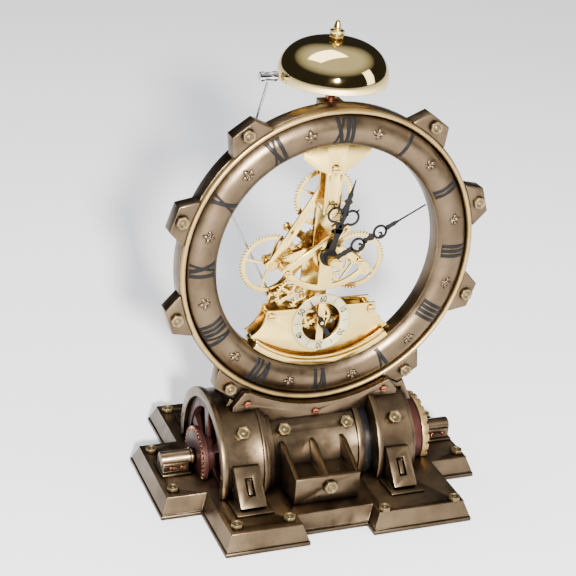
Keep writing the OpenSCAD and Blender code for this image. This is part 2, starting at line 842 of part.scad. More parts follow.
// Turned pillars between the plates
module pillars() {
    color(brass) dial_frame() {
        for (p = front_pillars) at(p, mid_f + plate_t) {
            cylinder(h = front_f - mid_f - plate_t, r = 1.9);
            cylinder(h = 1.2, r = 2.6);
            translate([0, 0, front_f - mid_f - plate_t - 1.2]) cylinder(h = 1.2, r = 2.6);
        }
        for (p = rear_pillars) at(p, rear_f + plate_t) {
            cylinder(h = mid_f - rear_f - plate_t, r = 1.9);
            cylinder(h = 1.2, r = 2.6);
        }
    }
}

module plate_screws() {
    head = front_f + plate_t;
    color(brass) dial_frame() {
        for (k = [0, 1, 4]) at(front_pillars[k], head) slot_screw(2.7, 1.3, plate_t);
        for (k = [2, 3]) at(front_pillars[k], head) slot_screw(2, 1, plate_t);
        for (p = rear_pillars) at(p, rear_f) mirror([0, 0, 1]) slot_screw(2, 1, plate_t);
    }
}

// ---------- wheel train ----------

module seconds_arbor() {
    color(brass) dial_frame() at(at_seconds) {
        arbor(mid_f, 8);
        pinion(n_sec_pin, train_m, turn_sec_pin, 1.8, 3.7);
        spoked_wheel(n_drive, motion_m, 0, -3.2, wheel_t, 2, 4, 2.6);
    }
}

module seconds_hand() {
    color(black) dial_frame() at(at_seconds, 6.9) rotate(second_turn) difference() {
        union() {
            cylinder(h = 0.7, r = 2.4);
            linear_extrude(0.5) polygon([[-0.8, 0], [0.8, 0], [0.25, 19], [-0.25, 19]]);
            linear_extrude(0.5) polygon([[-0.8, 0], [-1.9, -12.5], [1.9, -12.5], [0.8, 0]]);
        }
        translate([0, 0, -1]) cylinder(h = 3, r = arbor_r);
    }
}

module third_arbor() {
    color(brass) dial_frame() at(at_third) {
        arbor(mid_f, front_f + plate_t);
        spoked_wheel(n_third, train_m, 0, 2.2, wheel_t, 2.2, 5, 3);
        pinion(n_third_pin, train_m, turn_third_pin, -0.6, 1.4);
    }
}

module fourth_arbor() {
    color(brass) dial_frame() at(at_fourth) {
        arbor(rear_f, 2.2);
        spoked_wheel(n_fourth, train_m, 0, -0.2, wheel_t, 2.2, 5, 3);
        pinion(n_fourth_pin, train_m, turn_fourth_pin, wheel_f - 0.6, wheel_f + 1.8);
    }
}

module left_wheel() {
    color(gold) dial_frame() at(at_left) {
        arbor(rear_f, mid_f + plate_t);
        spoked_wheel(n_large, train_m, turn_left, wheel_f, wheel_t, 3.4, 4, 3.2);
    }
}

module upper_wheel() {
    color(gold) dial_frame() at(at_upper) {
        arbor(rear_f, front_f + plate_t);
        spoked_wheel(n_large, train_m, turn_upper, wheel_f, wheel_t, 3.4, 4, 3.2);
    }
}

module right_wheel() {
    color(gold) dial_frame() at(at_right) {
        arbor(rear_f, front_f + plate_t);
        spoked_wheel(n_large, train_m, turn_right, deep_f, wheel_t, 3.4, 4, 3.2);
    }
}

module centre_arbor() {
    color(brass) dial_frame() {
        arbor(rear_f - 2, 14.2);
        spoked_wheel(n_centre, train_m, 0, wheel_f, wheel_t, 2.6, 5, 3.2);
        spoked_wheel(n_centre2, train_m, 0, deep_f, wheel_t, 2.4, 5, 3.2);
        pinion(n_cannon, motion_m, 0, -0.3, 1.3);
    }
}

module minute_wheel() {
    color(brass) dial_frame() at(at_minute) difference() {
        union() {
            spoked_wheel(n_minute, motion_m, turn_minute, -0.1, 1.1, 1.8, 4, 2.4);
            pinion(n_minute_pin, hour_m, 0, 0.9, 3.3);
        }
        translate([0, 0, -1]) cylinder(h = 6, r = 1.06);
    }
}

module hour_wheel() {
    color(brass) dial_frame() difference() {
        union() {
            translate([0, 0, 1.6]) cylinder(h = 8.2, r = 2.2);
            translate([0, 0, 2]) linear_extrude(1) polygon(teeth(n_hour, hour_m, turn_hour));
        }
        translate([0, 0, -1]) cylinder(h = 20, r = arbor_r + 0.06);
        // Lightening holes in the wheel
        for (k = [0 : 4]) rotate(72 * k) translate([5.6, 0, 1]) cylinder(h = 3, r = 1.9);
    }
}

// Hand with a ring, a hub and a slim pointed blade
module hour_hand() {
    color(black) dial_frame() translate([0, 0, 8.4]) rotate(hour_turn) difference() {
        union() {
            translate([0, 0, -1.8]) cylinder(h = 2.8, r = 6);
            linear_extrude(0.8) polygon([[-1.5, 4], [1.5, 4], [1, 20], [2.2, 30], [0.9, 38],
                                         [1.9, 42], [0.3, 56.8], [-0.3, 56.8], [-1.9, 42],
                                         [-0.9, 38], [-2.2, 30], [-1, 20]]);
            for (s = [-1, 1]) translate([s * 6.3, 29.5, 0]) difference() {
                cylinder(h = 0.8, r = 5.2);
                translate([0, 0, -1]) cylinder(h = 3, r = 3.7);
            }
        }
        translate([0, 0, -3]) cylinder(h = 8, r = 2.22);
    }
}

module minute_hand() {
    color(black) dial_frame() translate([0, 0, 12.8]) rotate(minute_turn) difference() {
        union() {
            cylinder(h = 1, r = 4.2);
            linear_extrude(0.8) polygon([[-1.3, 3], [1.3, 3], [0.9, 44], [0.3, 74.6],
                                         [-0.3, 74.6], [-0.9, 44]]);
            for (y = [20, 39]) translate([0, y, 0]) cylinder(h = 0.8, r = 4.4);
        }
        for (y = [20, 39]) translate([0, y, -1]) cylinder(h = 3, r = 3);
        translate([0, 0, -1]) cylinder(h = 4, r = arbor_r);
    }
}

module hand_cap() {
    color(brass) dial_frame() difference() {
        union() {
            translate([0, 0, 13.8]) cylinder(h = 5.4, r = 3.4);
            for (k = [0 : 23]) rotate(15 * k) translate([3.3, -0.25, 14])
                cube([0.35, 0.5, 4.8]);
        }
        translate([0, 0, 13.6]) cylinder(h = 0.6, r = arbor_r);
    }
}

module motor() {
    color(dark) dial_frame() at(at_motor) difference() {
        union() {
            translate([0, 0, mid_f - 12]) cylinder(h = 12, r = 9);
            translate([-9, -9, mid_f - 4]) cube([18, 9, 4]);
        }
        translate([0, 0, mid_f - 3]) cylinder(h = 6, r = arbor_r + 0.05);
    }
}

module motor_pinion() {
    color(steel) dial_frame() at(at_motor) {
        arbor(mid_f - 2.5, -0.5);
        pinion(n_motor, motion_m, turn_motor, -3.7, -1.5);
    }
}

module set_knob() {
    color(brass) dial_frame() {
        translate([0, 0, rear_f - 7]) cylinder(h = 5, r = 6.5);
        for (k = [0 : 19]) rotate(18 * k) translate([6.4, -0.5, rear_f - 6.6])
            cube([0.5, 1, 4.2]);
    }
}

// ---------- bell and hammer ----------
bell_y = 14.5;
post_r = 3.7;
post_foot = ring_z + 80;

module bell_bracket() {
    color(bronze) difference() {
        translate([-8, -back_f, ring_z + 83.5]) cube([16, bell_y + 5.5 + back_f, 20]);
        translate([0, bell_y, 200]) cylinder(h = 200, r = post_r + 0.02);
    }
}

module bell_post() {
    color(copper) difference() {
        translate([0, bell_y, post_foot]) cylinder(h = bell_z + bell_h + 4 - post_foot, r = post_r);
        translate([0, bell_y, bell_z + bell_h - 1.5]) difference() {
            cylinder(h = 20, r = 9);
            cylinder(h = 20, r = 2);
        }
    }
}

// Half section of the dome: a rounded-square arc
function dome(r, h, steps) =
    [for (k = [0 : steps]) let (a = 90 * k / steps) [r * pow(cos(a), 0.75), h * pow(sin(a), 0.85)]];

module bell() {
    skin = 1.4;
    steps = 14;
    color(brass) translate([0, bell_y, bell_z]) difference() {
        rotate_extrude($fn = 96) polygon(concat([[0, 0]], dome(bell_r, bell_h, steps)));
        translate([0, 0, -0.01]) rotate_extrude($fn = 96)
            polygon(concat([[0, 0]], dome(bell_r - skin, bell_h - skin, steps)));
        translate([0, 0, bell_h - 5]) cylinder(h = 10, r = 2.05);
    }
}

module finial_nut() {
    base = bell_z + bell_h;
    color(brass) translate([0, bell_y, base]) difference() {
        union() {
            cylinder(h = 2.6, r = 5, $fn = 6);
            translate([0, 0, 2.5]) cylinder(h = 0.7, r = 4);
            translate([0, 0, 3.1]) rotate(30) cylinder(h = 2.7, r = 5, $fn = 6);
            translate([0, 0, 5.7]) rotate_extrude()
                polygon([[0, 0], [2.7, 0], [2.5, 2], [1.9, 4.2], [1.6, 5.2], [0.6, 6.6], [0, 7]]);
        }
        translate([0, 0, -1]) cylinder(h = 5.2, r = 2.05);
    }
}

// Wire arm of the hammer: three straight runs in one plane behind the ring
wire_r = 0.8;
wire_f = -13.5;
wire_bend = [-66, 31];
hammer_tail = [-20, -35.5];
head_at = [-45, 120.2];
module wire(p, q) {
    at(p, wire_f) rotate([0, 0, heading(p, q)]) rotate([0, 90, 0])
        cylinder(h = norm(q - p), r = wire_r);
    at(q, wire_f) sphere(r = wire_r + 0.25);
}

module hammer_arm() {
    color(steel) dial_frame() {
        wire(at_hammer, wire_bend);
        wire(wire_bend, head_at - [0.6, 3.75]);
        wire(at_hammer, hammer_tail);
        at(at_hammer, -15.6) cylinder(h = 4.4, r = 3);
        at(at_hammer) arbor(rear_f, mid_f + plate_t);
        // Iron armature on the tail
        at(hammer_tail, wire_f - 2.3) cylinder(h = 4.6, r = 2.4);
    }
}

module hammer_head() {
    half = 6.2;
    color(steel) dial_frame() at(head_at, wire_f - 1) rotate([0, 90, 0]) {
        translate([0, 0, -half]) cylinder(h = 2 * half, r = 2.8);
        translate([0, 0, -half]) cylinder(h = 3.5, r = 3.3);
        translate([0, 0, half - 3.5]) cylinder(h = 3.5, r = 3.3);
    }
}

// Electromagnet under the hammer's tail, on a foot behind the middle plate
module hammer_coil() {
    gap = 2.5;
    color(copper) dial_frame() at(hammer_tail - [0, 2.4 + gap], wire_f) rotate([90, 0, 0]) {
        cylinder(h = 22, r = 1.6);
        translate([0, 0, 2]) cylinder(h = 1.4, r = 5.6);
        translate([0, 0, 3]) cylinder(h = 12, r = 4.6);
        translate([0, 0, 14]) cylinder(h = 1.4, r = 5.6);
    }
    color(brass) dial_frame() translate([hammer_tail[0] - 5, -62.5, wire_f - 2.5])
        cube([10, 6, mid_f - wire_f + 2.5]);
}

module hammer_spring() {
    color(steel) dial_frame() at(at_hammer, 0) for (k = [0 : 2])
        translate([0, 0, -8.4 - 1.1 * k]) rotate_extrude() translate([2, 0]) circle(r = 0.4);
}

plinth();
base_cover();
battery_door();
battery_holder();
batteries();
battery_lead();
case_bolts();
small_screws();
left_drum();
left_rotor();
stub_shafts();
pedestals();
drum_legs();
centre_barrel();
terminal_box();
rotor_band();
right_drum();
red_disc();
notched_ring();
saddle();
ring_case();
ring_tube();
gold_bead();
numerals();
ornaments();
lug_bolts();
inner_ledge();
lower_plate();
seconds_dial();
quadrant_bridge();
top_bridge();
middle_plate();
rear_bridge();
pillars();
plate_screws();
seconds_arbor();
seconds_hand();
third_arbor();
fourth_arbor();
left_wheel();
upper_wheel();
right_wheel();
centre_arbor();
minute_wheel();
hour_wheel();
hour_hand();
minute_hand();
hand_cap();
motor();
motor_pinion();
set_knob();
bell_bracket();
bell_post();
bell();
finial_nut();
hammer_arm();
hammer_head();
hammer_coil();
hammer_spring();
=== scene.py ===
"""Looks of the dynamo skeleton clock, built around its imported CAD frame. Lengths are in metres."""
import json
import math

import bmesh
import bpy
from mathutils import Matrix, Vector


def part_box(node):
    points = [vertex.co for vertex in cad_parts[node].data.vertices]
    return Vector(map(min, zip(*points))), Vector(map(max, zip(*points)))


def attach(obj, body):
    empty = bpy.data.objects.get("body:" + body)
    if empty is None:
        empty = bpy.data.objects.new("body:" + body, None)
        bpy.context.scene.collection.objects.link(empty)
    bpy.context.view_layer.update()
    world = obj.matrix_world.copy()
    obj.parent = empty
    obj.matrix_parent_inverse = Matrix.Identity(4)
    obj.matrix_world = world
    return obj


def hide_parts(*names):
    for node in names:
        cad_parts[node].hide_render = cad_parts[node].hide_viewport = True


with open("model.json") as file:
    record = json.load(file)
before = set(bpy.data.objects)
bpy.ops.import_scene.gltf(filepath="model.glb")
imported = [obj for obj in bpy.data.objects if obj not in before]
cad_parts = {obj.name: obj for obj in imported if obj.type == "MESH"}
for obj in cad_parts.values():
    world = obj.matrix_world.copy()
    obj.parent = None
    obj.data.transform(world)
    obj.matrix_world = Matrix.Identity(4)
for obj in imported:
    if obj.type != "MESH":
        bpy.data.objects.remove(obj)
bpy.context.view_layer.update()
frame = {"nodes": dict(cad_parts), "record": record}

MM = 0.001

# ---------- places, taken from the frame ----------


def middle(node):
    """Centre of a node's box."""
    low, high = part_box(node)
    return (low + high) / 2


tube_low, tube_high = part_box("ring_tube")
bell_low, bell_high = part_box("bell")
RING_Z = middle("ring_tube").z
CREST = -tube_low.y
CASE_FRONT = -tube_high.y
AXIS_Z = middle("stub_shafts").z

# Local frames: the dial (z towards the viewer), the dynamo (z along its axis) and the bell (z up)
DIAL = Matrix(((1, 0, 0, 0), (0, 0, -1, 0), (0, 1, 0, RING_Z), (0, 0, 0, 1)))
DYNAMO = Matrix(((0, 0, 1, 0), (1, 0, 0, 0), (0, 1, 0, AXIS_Z), (0, 0, 0, 1)))
BELL = Matrix.Translation((0, middle("bell").y, bell_low.z))

# ---------- camera, floor and light ----------
TARGET = Vector((-30.6, -14.5, 153.8)) * MM
AZIMUTH, ELEVATION, ROLL = (math.radians(a) for a in (-23.23, 24.55, 5.13))
DISTANCE = 0.9737
LENS = 91.5
FLOOR_SIDE = 12
LAMP_AIM = (0, 0, 0.13)


def add_camera():
    """The camera of the photograph, solved from the plinth's right angles and the round ring."""
    data = bpy.data.cameras.new("camera")
    data.lens = LENS
    data.clip_start = 0.01
    obj = bpy.data.objects.new("camera", data)
    bpy.context.scene.collection.objects.link(obj)
    back = Vector((math.sin(AZIMUTH) * math.cos(ELEVATION),
                   -math.cos(AZIMUTH) * math.cos(ELEVATION), math.sin(ELEVATION)))
    level = (-back).cross(Vector((0, 0, 1))).normalized()
    upright = level.cross(-back)
    right = math.cos(ROLL) * level + math.sin(ROLL) * upright
    up = -math.sin(ROLL) * level + math.cos(ROLL) * upright
    turn = Matrix((right, up, back)).transposed().to_4x4()
    obj.matrix_world = Matrix.Translation(TARGET + back * DISTANCE) @ turn
    bpy.context.scene.camera = obj


def add_light(name, place, aim, size, power, colour=(1, 1, 1)):
    data = bpy.data.lights.new(name, "AREA")
    data.shape = "RECTANGLE"
    data.size, data.size_y = size
    data.energy = power
    data.color = colour
    obj = bpy.data.objects.new(name, data)
    bpy.context.scene.collection.objects.link(obj)
    obj.location = place
    obj.rotation_euler = (Vector(aim) - Vector(place)).to_track_quat("-Z", "Y").to_euler()


def add_stage():
    """Pale floor, three lamps, and a bright sky whose reflection is dark near the horizon."""
    mesh = bpy.data.meshes.new("floor")
    half = FLOOR_SIDE / 2
    mesh.from_pydata([(-half, -half, 0), (half, -half, 0), (half, half, 0), (-half, half, 0)], [],
                     [(0, 1, 2, 3)])
    floor = bpy.data.objects.new("floor", mesh)
    bpy.context.scene.collection.objects.link(floor)
    paper = bpy.data.materials.new("paper")
    paper.use_nodes = True
    shader = paper.node_tree.nodes["Principled BSDF"]
    shader.inputs["Base Color"].default_value = (0.92, 0.92, 0.94, 1)
    shader.inputs["Roughness"].default_value = 0.9
    mesh.materials.append(paper)
    add_light("key", (-0.48, -1.98, 0.99), LAMP_AIM, (0.16, 0.16), 240, (1, 0.98, 0.95))
    add_light("side", (1.2, -0.7, 0.7), LAMP_AIM, (0.5, 0.9), 6, (1, 0.95, 0.88))
    add_light("top", (-0.1, 0.3, 1.3), LAMP_AIM, (0.9, 0.5), 7)
    world = bpy.data.worlds.new("studio")
    bpy.context.scene.world = world
    world.use_nodes = True
    nodes, links = world.node_tree.nodes, world.node_tree.links
    spot = nodes.new("ShaderNodeTexCoord")
    split = nodes.new("ShaderNodeSeparateXYZ")
    ramp = nodes.new("ShaderNodeValToRGB")
    links.new(spot.outputs["Generated"], split.inputs[0])
    links.new(split.outputs["Z"], ramp.inputs[0])
    ramp.color_ramp.elements[0].position = 0.49
    ramp.color_ramp.elements[0].color = (0.035, 0.033, 0.032, 1)
    ramp.color_ramp.elements[1].position = 0.80
    ramp.color_ramp.elements[1].color = (1.0, 1.0, 1.0, 1)
    rays = nodes.new("ShaderNodeLightPath")
    mirror = nodes.new("ShaderNodeMix")
    mirror.data_type = "RGBA"
    mirror.inputs[6].default_value = (1.25, 1.28, 1.34, 1)
    links.new(rays.outputs["Is Glossy Ray"], mirror.inputs[0])
    links.new(ramp.outputs[0], mirror.inputs[7])
    links.new(mirror.outputs[2], nodes["Background"].inputs["Color"])
    nodes["Background"].inputs["Strength"].default_value = 0.75


# ---------- materials ----------


def shader_of(name):
    """A new material, its node tree and its shader."""
    material = bpy.data.materials.new(name)
    material.use_nodes = True
    tree = material.node_tree
    return material, tree, tree.nodes["Principled BSDF"]


def noise(tree, scale, detail=4.0, rough=0.55, stretch=None):
    """Noise in the object's own metres; stretch squeezes it along the axes."""
    spot = tree.nodes.new("ShaderNodeTexCoord")
    out = spot.outputs["Object"]
    if stretch:
        mapping = tree.nodes.new("ShaderNodeMapping")
        mapping.inputs["Scale"].default_value = stretch
        tree.links.new(out, mapping.inputs[0])
        out = mapping.outputs[0]
    node = tree.nodes.new("ShaderNodeTexNoise")
    node.inputs["Scale"].default_value = scale
    node.inputs["Detail"].default_value = detail
    node.inputs["Roughness"].default_value = rough
    tree.links.new(out, node.inputs["Vector"])
    return node.outputs["Fac"]


def between(tree, value, low, high, out_low=0.0, out_high=1.0):
    """The value moved from low to high into out_low to out_high, and kept inside them."""
    node = tree.nodes.new("ShaderNodeMapRange")
    node.inputs["From Min"].default_value = low
    node.inputs["From Max"].default_value = high
    node.inputs["To Min"].default_value = out_low
    node.inputs["To Max"].default_value = out_high
    tree.links.new(value, node.inputs["Value"])
    return node.outputs["Result"]


def blend_colour(tree, factor, first, second):
    """The first colour where factor is 0, the second where it is 1."""
    node = tree.nodes.new("ShaderNodeMix")
    node.data_type = "RGBA"
    for value, socket in ((first, node.inputs[6]), (second, node.inputs[7])):
        if isinstance(value, tuple):
            socket.default_value = (*value, 1)
        else:
            tree.links.new(value, socket)
    tree.links.new(factor, node.inputs[0])
    return node.outputs[2]


def join_values(tree, kind, first, second):
    """Two values, or a value and a number, joined by one operation and kept within 0 and 1."""
    node = tree.nodes.new("ShaderNodeMath")
    node.operation = kind
    node.use_clamp = True
    for value, socket in ((first, node.inputs[0]), (second, node.inputs[1])):
        if isinstance(value, (int, float)):
            socket.default_value = value
        else:
            tree.links.new(value, socket)
    return node.outputs[0]


def crevice(tree, reach):
    """Ambient occlusion as a mask for painted shade: 1 in corners and gaps narrower than reach, 0 in
    the open.
    """
    node = tree.nodes.new("ShaderNodeAmbientOcclusion")
    node.samples = 6
    node.inputs["Distance"].default_value = reach
    return between(tree, node.outputs["AO"], 0.35, 0.95, 1.0, 0.0)


def worn_edge(tree, reach, low=0.02, high=0.14):
    """1 along sharp edges, from the difference between the true and a rounded normal."""
    bevel = tree.nodes.new("ShaderNodeBevel")
    bevel.samples = 4
    bevel.inputs["Radius"].default_value = reach
    here = tree.nodes.new("ShaderNodeNewGeometry")
    dot = tree.nodes.new("ShaderNodeVectorMath")
    dot.operation = "DOT_PRODUCT"
    tree.links.new(bevel.outputs[0], dot.inputs[0])
    tree.links.new(here.outputs["Normal"], dot.inputs[1])
    return between(tree, dot.outputs["Value"], 1 - low, 1 - high), bevel.outputs[0]


def add_bump(tree, shader, height, strength, distance, normal=None):
    node = tree.nodes.new("ShaderNodeBump")
    node.inputs["Strength"].default_value = strength
    node.inputs["Distance"].default_value = distance
    tree.links.new(height, node.inputs["Height"])
    if normal is not None:
        tree.links.new(normal, node.inputs["Normal"])
    tree.links.new(node.outputs[0], shader.inputs["Normal"])


def cast_metal(name, body, shade, recess_shade_colour, edge, rough=(0.30, 0.50), metallic=0.9, reach=5 * MM,
               recess_shade_share=0.9):
    """Cold-cast metal: mottled colour, painted shade in recesses, rubbed bright edges."""
    material, tree, shader = shader_of(name)
    cloud = between(tree, noise(tree, 38), 0.35, 0.68)
    grain = noise(tree, 420, 3.0, 0.6)
    colour = blend_colour(tree, cloud, body, shade)
    wear, rounded = worn_edge(tree, 0.5 * MM)
    patches = between(tree, noise(tree, 160), 0.3, 0.6, 0.35, 1.0)
    patchy = join_values(tree, "MULTIPLY", wear, patches)
    colour = blend_colour(tree, patchy, colour, edge)
    # Painted shade: the colour is blended towards the dark recess colour wherever the ambient
    # occlusion mask finds corners and gaps.
    painted_shade = join_values(tree, "MULTIPLY", crevice(tree, reach), recess_shade_share)
    colour = blend_colour(tree, painted_shade, colour, recess_shade_colour)
    tree.links.new(colour, shader.inputs["Base Color"])
    shader.inputs["Metallic"].default_value = metallic
    tree.links.new(between(tree, noise(tree, 90), 0.3, 0.7, *rough), shader.inputs["Roughness"])
    add_bump(tree, shader, grain, 0.25, 0.15 * MM, rounded)
    return material


def polished_metal(name, body, shade, rough, reach=2 * MM, recess_shade_colour=None):
    """Polished or satin metal: faint clouding, fine scratches and a soft edge, and optionally
    painted shade in recesses.
    """
    material, tree, shader = shader_of(name)
    cloud = between(tree, noise(tree, 60), 0.3, 0.7)
    colour = blend_colour(tree, cloud, body, shade)
    # Painted shade: when a recess colour is given, the colour is blended towards it by the ambient
    # occlusion mask.
    if recess_shade_colour:
        painted_shade = join_values(tree, "MULTIPLY", crevice(tree, reach), 0.8)
        colour = blend_colour(tree, painted_shade, colour, recess_shade_colour)
    _, rounded = worn_edge(tree, 0.25 * MM)
    tree.links.new(colour, shader.inputs["Base Color"])
    shader.inputs["Metallic"].default_value = 1.0
    tree.links.new(between(tree, noise(tree, 150, 5.0, 0.6), 0.3, 0.7, *rough),
                   shader.inputs["Roughness"])
    scratch = noise(tree, 900, 2.0, 0.5, (1, 1, 8))
    add_bump(tree, shader, scratch, 0.08, 0.05 * MM, rounded)
    return material


def plain_finish(name, body, shade, rough=(0.4, 0.6), coat=0.0, shine=0.5):
    """Paint or plastic: one dull colour with faint clouding."""
    material, tree, shader = shader_of(name)
    colour = blend_colour(tree, between(tree, noise(tree, 120), 0.3, 0.7), body, shade)
    tree.links.new(colour, shader.inputs["Base Color"])
    shader.inputs["Coat Weight"].default_value = coat
    shader.inputs["Specular IOR Level"].default_value = shine
    tree.links.new(between(tree, noise(tree, 200), 0.3, 0.7, *rough), shader.inputs["Roughness"])
    add_bump(tree, shader, noise(tree, 1500, 3.0), 0.2, 0.05 * MM)
    return material


# In these looks, the colour given for recesses is painted shade, laid in by the ambient occlusion
# mask.
LOOKS = {
    "bronze": cast_metal(
        "bronze", body=(0.150, 0.106, 0.063), shade=(0.080, 0.055, 0.033),
        recess_shade_colour=(0.008, 0.005, 0.004), edge=(0.58, 0.45, 0.29), rough=(0.26, 0.42), metallic=1.0,
        reach=8 * MM, recess_shade_share=0.97),
    "bolt_brass": cast_metal(
        "bolt_brass", body=(0.21, 0.155, 0.075), shade=(0.12, 0.082, 0.038),
        recess_shade_colour=(0.010, 0.007, 0.004), edge=(0.78, 0.64, 0.38), reach=2.2 * MM),
    "antique_gold": cast_metal(
        "antique_gold", body=(0.42, 0.29, 0.12), shade=(0.28, 0.18, 0.07),
        recess_shade_colour=(0.03, 0.018, 0.008), edge=(0.80, 0.63, 0.34), reach=1.5 * MM),
    "rotor_red": cast_metal(
        "rotor_red", body=(0.060, 0.016, 0.013), shade=(0.028, 0.009, 0.008),
        recess_shade_colour=(0.004, 0.002, 0.002), edge=(0.34, 0.15, 0.10), metallic=0.7),
    "rotor_black": cast_metal(
        "rotor_black", body=(0.012, 0.010, 0.012), shade=(0.008, 0.007, 0.008),
        recess_shade_colour=(0.002, 0.002, 0.002), edge=(0.16, 0.14, 0.15), metallic=0.6),
    "rotor_ribs": cast_metal(
        "rotor_ribs", body=(0.22, 0.10, 0.05), shade=(0.13, 0.05, 0.025),
        recess_shade_colour=(0.01, 0.005, 0.004), edge=(0.55, 0.32, 0.18), reach=1.2 * MM),
    "black_paint": plain_finish(
        "black_paint", body=(0.004, 0.004, 0.004), shade=(0.008, 0.007, 0.007),
        rough=(0.35, 0.5), shine=0.12),
    "dial_brass": polished_metal(
        "dial_brass", body=(0.66, 0.60, 0.34), shade=(0.60, 0.52, 0.28), rough=(0.30, 0.42)),
    "polished_brass": polished_metal(
        "polished_brass", body=(0.80, 0.61, 0.21), shade=(0.69, 0.48, 0.13),
        rough=(0.12, 0.26), reach=5 * MM, recess_shade_colour=(0.30, 0.10, 0.015)),
    "bell_brass": polished_metal(
        "bell_brass", body=(0.93, 0.73, 0.32), shade=(0.90, 0.69, 0.28), rough=(0.03, 0.07)),
    "copper": polished_metal(
        "copper", body=(0.42, 0.15, 0.08), shade=(0.30, 0.10, 0.05), rough=(0.2, 0.4),
        recess_shade_colour=(0.06, 0.02, 0.01)),
    "steel": polished_metal(
        "steel", body=(0.45, 0.44, 0.43), shade=(0.34, 0.34, 0.33), rough=(0.15, 0.3)),
    "chrome": polished_metal(
        "chrome", body=(0.62, 0.62, 0.64), shade=(0.50, 0.50, 0.52), rough=(0.06, 0.16)),
    "black_plastic": plain_finish(
        "black_plastic", body=(0.022, 0.022, 0.023), shade=(0.035, 0.035, 0.036)),
    "lead": plain_finish("lead", body=(0.02, 0.02, 0.02), shade=(0.03, 0.03, 0.03)),
    "cell_wrap": plain_finish(
        "cell_wrap", body=(0.42, 0.27, 0.06), shade=(0.38, 0.24, 0.05), rough=(0.2, 0.3),
        coat=0.4),
}
SLOT_OF = {p["node"]: p["material_slot"] for p in frame["record"]["subparts"]}
BODY_OF = {n: body for body, members in frame["record"]["behaviour"]["bodies"].items()
           for n in members}

# ---------- mesh helpers ----------


def add_piece(name, mesh, node, slot=None, hide=True, look=None):
    """Puts a mesh in the scene in place of a CAD node, or beside it when hide is false."""
    slot = slot or SLOT_OF[node]
    mesh.materials.clear()
    mesh.materials.append(LOOKS[look or slot])
    obj = bpy.data.objects.new(name, mesh)
    bpy.context.scene.collection.objects.link(obj)
    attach(obj, BODY_OF[node])
    if hide:
        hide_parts(node)
    return obj


def smooth(mesh, angle=35):
    """Smooth shading, with edges over the angle (in degrees) kept sharp."""
    mesh.shade_smooth()
    mesh.set_sharp_from_angle(angle=math.radians(angle))


def mesh_from(name, points, faces, where=None, angle=35):
    mesh = bpy.data.meshes.new(name)
    mesh.from_pydata([tuple(p) for p in points], [], faces)
    if where is not None:
        mesh.transform(where)
    bm = bmesh.new()
    bm.from_mesh(mesh)
    bmesh.ops.remove_doubles(bm, verts=bm.verts, dist=1e-6)
    bmesh.ops.recalc_face_normals(bm, faces=bm.faces)
    bm.to_mesh(mesh)
    bm.free()
    smooth(mesh, angle)
    return mesh


SHARP_EDGE = math.radians(38)


def soften(node, width):
    """A copy of a CAD node with its sharp edges rounded over."""
    mesh = frame["nodes"][node].data.copy()
    bm = bmesh.new()
    bm.from_mesh(mesh)
    bmesh.ops.remove_doubles(bm, verts=bm.verts, dist=2e-6)
    bmesh.ops.dissolve_limit(bm, angle_limit=math.radians(0.6), verts=bm.verts, edges=bm.edges)
    sharp = [e for e in bm.edges if len(e.link_faces) == 2
             and e.calc_face_angle(0) > SHARP_EDGE]
    bmesh.ops.bevel(bm, geom=sharp, offset=width, segments=2, profile=0.5, affect="EDGES",
                    clamp_overlap=False)
    bm.to_mesh(mesh)
    bm.free()
    smooth(mesh, 30)
    return add_piece(node + "_finish", mesh, node)


def lathe(name, outline, where, steps=192, closed=False):
    """Turns an outline of (radius, height) points about the local z axis."""
    count = len(outline)
    points = []
    for k in range(steps):
        turn = 2 * math.pi * k / steps
        points += [(r * math.cos(turn), r * math.sin(turn), h) for r, h in outline]
    faces = []
    for k in range(steps):
        here, there = k * count, (k + 1) % steps * count
        for j in range(count if closed else count - 1):
            up = (j + 1) % count
            faces.append((here + j, there + j, there + up, here + up))
    return mesh_from(name, points, faces, where)


def arc(centre, radius, start, end, steps):
    """Points on a circle from start to end, in degrees."""
    turns = [math.radians(start + (end - start) * k / steps) for k in range(steps + 1)]
    return [(centre[0] + radius * math.cos(t), centre[1] + radius * math.sin(t)) for t in turns]


DIAL_MM = DIAL @ Matrix.Scale(MM, 4)
DYNAMO_MM = DYNAMO @ Matrix.Scale(MM, 4)
BELL_MM = BELL @ Matrix.Scale(MM, 4)


def turned(degrees):
    """The dial frame in millimetres, turned clockwise as the dial is read."""
    return DIAL_MM @ Matrix.Rotation(-math.radians(degrees), 4, "Z")


def join_parts(name, parts, angle=35):
    """One mesh from several (points, faces, matrix) parts."""
    points, faces = [], []
    for some_points, some_faces, where in parts:
        base = len(points)
        points += [where @ Vector(p) for p in some_points]
        faces += [tuple(base + i for i in face) for face in some_faces]
    return mesh_from(name, points, faces, None, angle)


def skin(rows):
    """Faces over rows of equal length, each row a closed loop, with both ends closed."""
    count = len(rows[0])
    points = [p for row in rows for p in row]
    faces = []
    for k in range(len(rows) - 1):
        for j in range(count):
            up = (j + 1) % count
            faces.append((k * count + j, k * count + up, (k + 1) * count + up, (k + 1) * count + j))
    faces.append(tuple(range(count))[::-1])
    faces.append(tuple((len(rows) - 1) * count + j for j in range(count)))
    return points, faces


def stroke(path, widths, low, high, chamfer=0.2):
    """A flat strip along a path of (x, y) points, with its top edges chamfered."""
    rows = []
    last = len(path) - 1
    for k, (x, y) in enumerate(path):
        before, after = path[max(k - 1, 0)], path[min(k + 1, last)]
        along = Vector((after[0] - before[0], after[1] - before[1])).normalized()
        side = Vector((-along.y, along.x))
        half = widths[k] / 2 if isinstance(widths, (list, tuple)) else widths / 2
        cut = min(chamfer, half * 0.6)
        rows.append([(x + side.x * w, y + side.y * w, h) for w, h in (
            (-half, low), (half, low), (half, high - cut), (half - cut, high),
            (-half + cut, high), (-half, high - cut))])
    return skin(rows)


